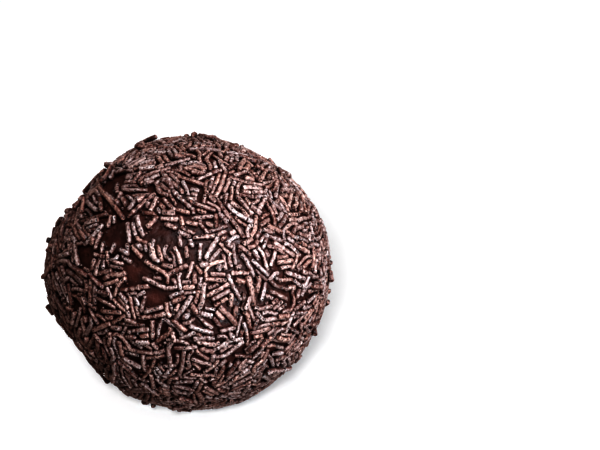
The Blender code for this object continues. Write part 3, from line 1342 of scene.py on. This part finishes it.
@dataclass(frozen=True)
class Coat:
    """Turns settled sprinkles into pieces, one joined mesh for each kind."""

    seed: int = 9
    bent_from: float = 0.055  # least bow of a bent sprinkle, as a share of its length
    ridged_share: float = 0.55
    shapes: tuple[RodShape, ...] = (
        RodShape(Kind.STRAIGHT, rings=4, ridge=0.02, knob=0.03, jitter=0.03),
        RodShape(Kind.RIDGED, rings=8, ridge=0.07, knob=0.025, jitter=0.035),
        RodShape(Kind.BENT, rings=8, ridge=0.03, knob=0.03, jitter=0.03),
        RodShape(Kind.STUB, rings=2, ridge=0.03, knob=0.03, jitter=0.04),
    )
    depth: tuple[float, float] = (0.3, 1.6)  # of a sprinkle's rings, against its kind's
    one_sided: float = 0.5  # how much deeper rings are on one side
    uneven: float = 0.7  # how much rings differ from each other
    end_ring: float = 0.3  # how far the ends stand out, against a ring
    waves: tuple[tuple[float, float], ...] = ((4.0, 1.5), (6.5, 2.0))  # of the knobs, with their spreads
    second_wave: float = 0.7  # against the first, round which it winds
    taper: float = 0.05
    pinch: float = 0.13  # most that an end is drawn in
    oval: float = 0.08
    slant: float = 0.3
    crook: float = 0.1  # how sharp the sharpest bend is, as a share of the length
    crook_place: float = 0.2  # how far from the middle it is at most, likewise
    crooked_to: float = 0.2  # most bow of one with a sharp bend, likewise
    twist: tuple[float, float] = (0.012, 0.05)  # of straight and bent ones, likewise
    tones: float = 0.08  # how much sprinkles differ in tone
    swell_light_and_shade: float = 1.4  # painted light and shade: how much lighter swollen places and how much darker drawn-in rings are painted
    painted_top_light: float = 0.33  # painted light: how much lighter the tops, which face out of the ball, are painted
    flank: float = 0.35  # where the painted shade of a flank begins, as the cosine of the angle from the top
    edge: float = 0.3  # how soft the change is there, as a cosine
    darkest_flank_shade: float = 1.8  # the darkest painted shade of the flanks, where the tops' painted light is 1

    def kinds(self, coat: Sprinkles, draw: np.random.RandomState) -> dict[Kind, np.ndarray]:
        """Sorts the sprinkles by kind.

        Args:
            coat: All the sprinkles.
            draw: The source of chance.

        Returns:
            A mask for each kind.
        """
        stub = coat.length < STUB_TO * coat.width
        bent = ~stub & (np.abs(coat.bow) > self.bent_from * coat.length)
        ridged = ~stub & ~bent & (draw.uniform(size=len(coat)) < self.ridged_share)
        return {
            Kind.STRAIGHT: ~stub & ~bent & ~ridged,
            Kind.RIDGED: ridged,
            Kind.BENT: bent,
            Kind.STUB: stub,
        }

    def swell(self, shape: RodShape, points: np.ndarray, chance: Chance) -> np.ndarray:
        """How much thicker or thinner than its width each sprinkle is at each point of the template.

        Args:
            shape: Their form.
            points: The template's points.
            chance: The source of chance.

        Returns:
            The factors, as (sprinkle, point).
        """
        x, y, z = points.T
        angle = np.arctan2(y, x)
        body = np.clip(z, -shape.cut, shape.cut) / shape.cut
        ring = np.rint((body + 1) / 2 * (shape.rings + 1)).astype(int)
        even = np.where((ring > 0) & (ring <= shape.rings), (-1.0) ** ring, self.end_ring)
        depth = shape.ridge * chance.between(*self.depth)
        swell = 1 + depth * even * (1 + self.one_sided * np.cos(angle + chance.within(math.pi)))
        swell += self.uneven * depth * chance.normal(shape.rings + 2)[:, ring]
        (wave1, spread1), (wave2, spread2) = self.waves
        knob = np.sin(body * (wave1 + chance.within(spread1)) + chance.within(math.pi))
        winding = body * (wave2 + chance.within(spread2)) + angle + chance.within(math.pi)
        knob += self.second_wave * np.sin(winding)
        swell += shape.knob * knob + chance.within(self.taper) * body
        for end in (-1, 1):
            pinch = self.pinch * chance.between(0, 1) ** 3
            swell -= pinch * np.clip(end * body, 0, 1) ** 3
        return swell + shape.jitter * chance.normal(len(points))

    def shaped(
        self,
        dough: Dough,
        rods: Sprinkles,
        shape: RodShape,
        points: np.ndarray,
        chance: Chance,
    ) -> tuple[np.ndarray, np.ndarray]:
        """Fits copies of a template to sprinkles, each with its own bends, knobs and slanted ends.

        Args:
            dough: The ball of dough, whose curve they follow.
            rods: The sprinkles of one kind.
            shape: The kind's form.
            points: The template's points.
            chance: The source of chance.

        Returns:
            The points of every copy, as (sprinkle, point, coordinate), and how light each point is, with
            painted light and shade in it.
        """
        along, side, out = rods.frames(dough)
        length = rods.length[:, None]
        radius = rods.width[:, None] / 2
        x, y, z = points.T
        body = np.clip(z, -shape.cut, shape.cut)
        far = body / shape.cut * (length / 2 - radius * shape.rim) + radius * (z - body)
        t = far / length
        angle = np.arctan2(y, x)
        size = np.hypot(x, y)
        swell = self.swell(shape, points, chance)
        roll = angle + chance.within(math.pi)
        oval = chance.within(self.oval)
        u = radius * size * swell * np.cos(roll) * (1 + oval)
        v = radius * size * swell * np.sin(roll) * (1 - oval)
        end = (np.abs(z) >= shape.cut) * size
        slant = np.where(z > 0, chance.within(self.slant), chance.within(self.slant))
        far = far + slant * end * radius * np.cos(angle + chance.within(math.pi))
        # The axis follows the ball's curve. Sideways it has a shape between a bow and a crook, and winds.
        bow = rods.bow[:, None]
        sharp = chance.between(0, 1) ** 2 * (np.abs(bow) < self.crooked_to * length)
        corner = t - chance.within(self.crook_place)
        round_corner = np.sqrt(corner**2 + self.crook**2)
        bend = (1 - sharp) * (1 - MEAN_ARCH - 4 * t * t) + sharp * (0.5 - 2 * round_corner)
        slope = (1 - sharp) * (-8 * t) - sharp * 2 * corner / round_corner
        bent = np.abs(bow) > self.bent_from * length
        twist = np.where(bent, chance.within(self.twist[1]), chance.within(self.twist[0])) * length
        bend = bow * bend + twist * np.sin(math.tau * t)
        slope = (bow * slope + twist * math.tau * np.cos(math.tau * t)) / length
        rise = length**2 / (8 * dough.radius)
        level = 1 / np.sqrt(1 + slope**2)
        across = bend + v * level
        far = far - v * slope * level + 8 * t * rise / length * u
        above = rise * (1 - MEAN_ARCH - 4 * t * t) + u
        place = rods.middle[:, None] + along[:, None] * far[..., None]
        place += side[:, None] * across[..., None] + out[:, None] * above[..., None]
        # Painted light and shade: the tops, facing out of the ball, are painted lighter and the flanks
        # darker.
        top_light_flank_shade = np.clip((size * np.cos(roll) - self.flank) / self.edge, -self.darkest_flank_shade, 1)
        # Painted light and shade on the relief: swollen places are painted lighter and drawn-in rings
        # darker.
        light = self.swell_light_and_shade * (swell - 1) + self.painted_top_light * top_light_flank_shade
        return place, light + MID_TONE + self.tones * chance.normal(1)

    def build(self, dough: Dough, coat: Sprinkles) -> list[bpy.types.Object]:
        """Builds the pieces.

        Args:
            dough: The ball of dough.
            coat: All the sprinkles.

        Returns:
            One dressed piece for each kind.
        """
        draw = np.random.RandomState(self.seed)
        material = SPRINKLE_FINISH.material()
        masks = self.kinds(coat, draw)
        pieces = []
        for shape in self.shapes:
            rods = coat.chosen(masks[shape.kind])
            points, faces = shape.template()
            chance = Chance(draw, len(rods))
            placed, light = self.shaped(dough, rods, shape, points, chance)
            inner = np.hypot(points[:, 0], points[:, 1]) < 1 - shape.rim - shape.cup_inset / 2
            values = {"tone": light, "tip": inner, "warmth": chance.between(0, 1)}
            pieces.append(dress(joined_mesh(shape.kind.value, placed, faces, values), material))
            log.info("%s: %d of them", shape.kind.value, len(rods))
        return pieces


def joined_mesh(
    name: str, placed: np.ndarray, faces: Faces, values: dict[str, np.ndarray]
) -> bpy.types.Object:
    """Joins copies of a template into one smooth-shaded object, kept above the floor.

    Args:
        name: The object's name.
        placed: The points of every copy, as (copy, point, coordinate).
        faces: The template's faces.
        values: Values from 0 to 1 for the points, by the name of the attribute. They are (copy, point), or
            spread out to it.

    Returns:
        The object.
    """
    placed[..., 2] = np.maximum(placed[..., 2], 0.0)
    copies, size, _ = placed.shape
    corners = [
        tuple(corner + copy * size for corner in face) for copy in range(copies) for face in faces
    ]
    data = bpy.data.meshes.new(name)
    data.from_pydata(placed.reshape(-1, 3), [], corners)
    data.shade_smooth()
    for label, column in values.items():
        attribute = data.attributes.new(label, "FLOAT", "POINT")
        column = np.clip(np.broadcast_to(column, (copies, size)), 0.0, 1.0)
        attribute.data.foreach_set("value", column.ravel())
    return new_object(name, data)


@dataclass(frozen=True)
class Crumbs:
    """Broken bits of sprinkle that stick in the gaps."""

    count: int = 600
    tries: int = 6000
    size: tuple[float, float] = (0.16 * MM, 0.4 * MM)
    room: tuple[float, float] = (0.05 * MM, 0.7 * MM)  # how far from a sprinkle they lie
    squash: float = 0.3
    roughen: float = 0.16
    tone: tuple[float, float] = (0.45, 0.25)  # the mean, and how much they differ
    warmth: float = 0.5
    seed: int = 31

    def build(self, dough: Dough, coat: Sprinkles, spots: Spots) -> bpy.types.Object:
        """Builds the crumbs' piece.

        Args:
            dough: The ball of dough.
            coat: All the sprinkles.
            spots: Bare spots, which stay clean.

        Returns:
            The dressed piece.
        """
        draw = np.random.RandomState(self.seed)
        ways = normalised(draw.normal(size=(self.tries, 3)))
        points = dough.surface(ways)
        room = np.zeros(self.tries)
        for index, point in enumerate(points):
            far = lengths(gaps_from(point, coat.start, coat.end))
            room[index] = (far - coat.width / 2).min()
        wanted = (room > self.room[0]) & (room < self.room[1]) & (points[:, 2] > self.size[1])
        for way, radius in spots:
            wanted &= dot(ways, way) < math.cos(radius / dough.radius)
        chosen = np.nonzero(wanted)[0][: self.count]
        size = draw.uniform(*self.size, (len(chosen), 1, 1))
        mesh = bmesh.new()
        bmesh.ops.create_icosphere(mesh, subdivisions=1, radius=1.0)
        template, faces = taken_out(mesh)
        squash = 1 + draw.uniform(-self.squash, self.squash, (len(chosen), 1, 3))
        rough = 1 + self.roughen * draw.normal(size=(len(chosen), len(template), 1))
        centres = (points + ways * self.size[0])[chosen][:, None]
        placed = centres + template * size * squash * rough
        tone = draw.normal(*self.tone, (len(chosen), 1))
        values = {"tone": tone, "tip": np.zeros(1), "warmth": np.full(1, self.warmth)}
        return dress(joined_mesh("crumbs", placed, faces, values), SPRINKLE_FINISH.material())


# ----------------------------------------------------------------------- studio


KEY_LIGHT: Colour = (0.74, 0.9, 1.0)
FILL_LIGHT: Colour = (0.83, 0.9, 0.96)
WARM_LIGHT: Colour = (1.0, 0.741, 0.641)
WHITE_PAINT = Ramp(((0.0, (0.55, 0.742, 0.86)), (1.0, (0.575, 0.776, 0.9))))  # white in the warm light


@dataclass(frozen=True)
class Softbox:
    """A square lamp that looks at the ball from a direction, and lights the ball or the floor alone."""

    name: str
    towards: tuple[float, float, float]
    distance: float
    size: float
    power: float
    colour: Colour
    shadowless: bool = False  # only what it lights casts shadows in its light

    def build(self, target: Vector, lit: bpy.types.Collection) -> None:
        """Adds the lamp.

        Args:
            target: The point that it is aimed at.
            lit: What it lights.
        """
        data = bpy.data.lights.new(self.name, "AREA")
        data.size = self.size
        data.energy = self.power
        data.color = self.colour
        item = bpy.data.objects.new(self.name, data)
        way = Vector(self.towards).normalized()
        item.location = target + way * self.distance
        item.rotation_euler = way.to_track_quat("Z", "Y").to_euler()
        item.light_linking.receiver_collection = lit
        if self.shadowless:
            item.light_linking.blocker_collection = lit
        bpy.context.scene.collection.objects.link(item)


@dataclass(frozen=True)
class Studio:
    """The pale floor, the soft light and the camera."""

    floor_radius: float = 3.0
    floor_sides: int = 96
    floor_grain: float = 40.0  # the scale of its faint mottle
    floor_roughness: float = 0.9
    floor_specular: float = 0.1
    lens_distance: float = 0.75
    sensor: float = 36.0
    sight: float = 10.0  # how far the camera sees
    ball_lamps: tuple[Softbox, ...] = (
        Softbox("high_key", (0.6, -0.275, 0.752), 0.6, 0.1, 8.4, KEY_LIGHT),
        Softbox("low_key", (0.66, -0.75, 0.094), 0.6, 0.1, 8.0, KEY_LIGHT),
        Softbox("top", (0.0, -0.374, 0.928), 0.6, 0.3, 5.2, FILL_LIGHT),
        Softbox("front", (0.242, -0.657, 0.715), 0.6, 0.3, 4.2, FILL_LIGHT),
        Softbox("back", (-0.05, 0.84, -0.54), 0.6, 0.2, 14.0, FILL_LIGHT),
    )
    floor_lamps: tuple[Softbox, ...] = (
        Softbox("floor_lamp", (0.0, 0.0, 1.0), 1.2, 1.0, 14.0, WARM_LIGHT, shadowless=True),
        Softbox("floor_shadow", (-0.065, -0.8, 0.6), 0.8, 0.14, 8.5, WARM_LIGHT),
    )
    sky_strength: float = 0.64
    sky_colour: Colour = WARM_LIGHT
    gamma: float = 0.5

    def floor(self) -> bpy.types.Object:
        """Adds the floor, a wide disc with a faint grain.

        Returns:
            The floor, which is no part of the ball.
        """
        mesh = bmesh.new()
        bmesh.ops.create_circle(
            mesh, cap_ends=True, segments=self.floor_sides, radius=self.floor_radius
        )
        data = bpy.data.meshes.new("floor")
        mesh.to_mesh(data)
        mesh.free()
        material = bpy.data.materials.new("pale_floor")
        material.use_nodes = True
        nodes, links = material.node_tree.nodes, material.node_tree.links
        cloud = nodes.new("ShaderNodeTexNoise")
        set_inputs(cloud, {"Scale": self.floor_grain})
        place = nodes.new("ShaderNodeTexCoord")
        links.new(place.outputs["Object"], cloud.inputs["Vector"])
        shader = nodes["Principled BSDF"]
        colour = WHITE_PAINT.add(material.node_tree, cloud.outputs["Fac"])
        links.new(colour, shader.inputs["Base Color"])
        set_inputs(
            shader, {"Roughness": self.floor_roughness, "Specular IOR Level": self.floor_specular}
        )
        data.materials.append(material)
        item = new_object("floor", data)
        item.visible_diffuse = False
        item.visible_glossy = False
        item.visible_shadow = False
        item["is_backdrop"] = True
        return item

    def sky(self) -> None:
        """Adds the soft light from all round, and the white that the camera sees past the floor."""
        world = bpy.data.worlds.new("studio")
        world.use_nodes = True
        bpy.context.scene.world = world
        nodes, links = world.node_tree.nodes, world.node_tree.links
        glow = nodes["Background"]
        glow.inputs["Color"].default_value = (*self.sky_colour, 1.0)
        set_inputs(glow, {"Strength": self.sky_strength})
        white = nodes.new("ShaderNodeBackground")
        path = nodes.new("ShaderNodeLightPath")
        mix = nodes.new("ShaderNodeMixShader")
        links.new(path.outputs["Is Camera Ray"], mix.inputs["Fac"])
        links.new(glow.outputs["Background"], mix.inputs[1])
        links.new(white.outputs["Background"], mix.inputs[2])
        links.new(mix.outputs["Shader"], nodes["World Output"].inputs["Surface"])

    def camera(self, dough: Dough, plane: FacePlane) -> None:
        """Adds the camera, with the ball where the photo has it.

        Args:
            dough: The ball of dough.
            plane: The plane that the camera looks at squarely.
        """
        data = bpy.data.cameras.new("camera")
        data.sensor_width = self.sensor
        data.lens = self.sensor * self.lens_distance / (PHOTO_WIDTH_PX * PX)
        data.clip_end = self.sight
        item = bpy.data.objects.new("camera", data)
        aside = (PHOTO_WIDTH_PX / 2 - BALL_X_PX) * PX
        above = (BALL_Y_PX - PHOTO_HEIGHT_PX / 2) * PX
        middle = Vector(dough.middle)
        item.location = middle + plane.out * self.lens_distance
        back = item.location - (middle + plane.right * aside + plane.up * above)
        item.rotation_euler = back.to_track_quat("Z", "Y").to_euler()
        bpy.context.scene.collection.objects.link(item)
        bpy.context.scene.camera = item

    def build(self, pieces: list[bpy.types.Object], dough: Dough, plane: FacePlane) -> None:
        """Builds the whole studio round the pieces.

        Args:
            pieces: The ball's pieces.
            dough: The ball of dough.
            plane: The plane that the camera looks at squarely.
        """
        self.sky()
        for name, lamps, lit in (
            ("lit_ball", self.ball_lamps, pieces),
            ("lit_floor", self.floor_lamps, [self.floor()]),
        ):
            collection = bpy.data.collections.new(name)
            for item in lit:
                collection.objects.link(item)
            for lamp in lamps:
                lamp.build(Vector(dough.middle), collection)
        self.camera(dough, plane)
        view = bpy.context.scene.view_settings
        view.view_transform = "Standard"
        view.gamma = self.gamma


def main() -> None:
    """Builds the ball and the studio, and works out the boxes of the solid and of the scene."""
    logging.basicConfig(level=logging.INFO, format="%(name)s: %(message)s")
    dough = Dough()
    plane = FacePlane()
    sprinkling = Sprinkling()
    spots = sprinkling.large.spots(dough, plane)
    coat = sprinkling.coat(dough, plane, spots)
    pieces = [dough.build(), *Coat().build(dough, coat), Crumbs().build(dough, coat, spots)]
    Studio().build(pieces, dough, plane)
    boxes = [[list(corner) for corner in box] for box in (CAD_BOX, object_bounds())]


if __name__ == "__main__":
    main()
